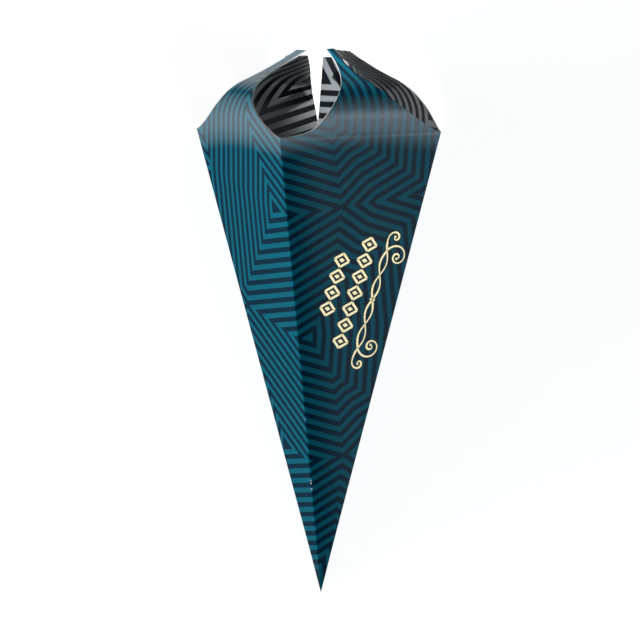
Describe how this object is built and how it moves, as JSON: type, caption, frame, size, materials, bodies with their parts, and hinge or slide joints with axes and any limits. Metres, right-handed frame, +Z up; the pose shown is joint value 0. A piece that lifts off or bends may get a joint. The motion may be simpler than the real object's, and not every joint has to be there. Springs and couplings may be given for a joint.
{
  "type": "cone packaging box",
  "caption": "Empty four-sided cone box of folded printed card, with four petals that roll inward at its mouth, lying on one panel.",
  "frame": {"origin": "on the surface the box lies on, under the middle of its bounding box", "axes": "+Y from the cone's point towards its mouth, along the panel it lies on; +Z up, square to that panel; +X across the mouth, on the side of the seam"},
  "size_m": [0.063, 0.183, 0.0619],
  "materials": {
    "card": "gloss"
  },
  "bodies": {
    "root": {"cone_sheet": "card"}
  },
  "joints": []
}
